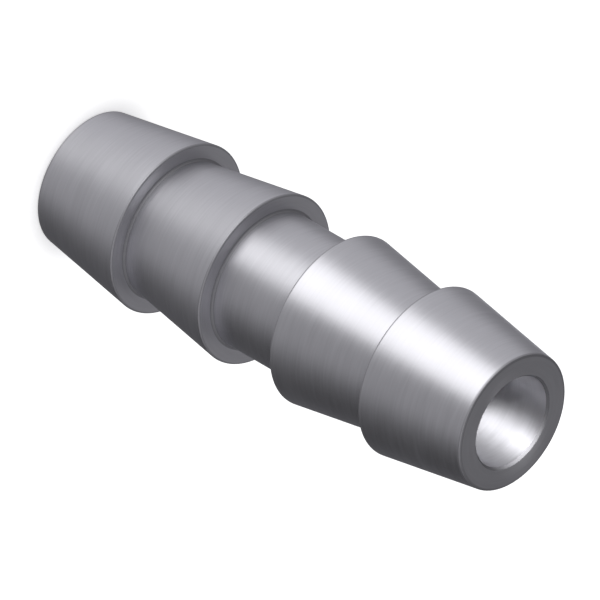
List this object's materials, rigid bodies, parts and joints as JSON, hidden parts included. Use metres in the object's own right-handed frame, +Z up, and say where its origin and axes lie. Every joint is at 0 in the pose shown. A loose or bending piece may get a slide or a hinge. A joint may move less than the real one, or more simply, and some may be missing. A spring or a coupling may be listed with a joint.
{
  "type": "hose connector",
  "caption": "Straight turned connector with a barbed hose tail at each end, a plain neck between the tails and one bore right through.",
  "frame": {"origin": "centre of the lower end face, on the surface that the part stands on", "axes": "+Z up along the bore and the axis of turning; the part is round, so +X and +Y are free"},
  "size_m": [0.015, 0.015, 0.048],
  "materials": {
    "turned_stainless": "satin, fine turned"
  },
  "bodies": {
    "root": {"hose_connector": "turned_stainless"}
  },
  "joints": []
}
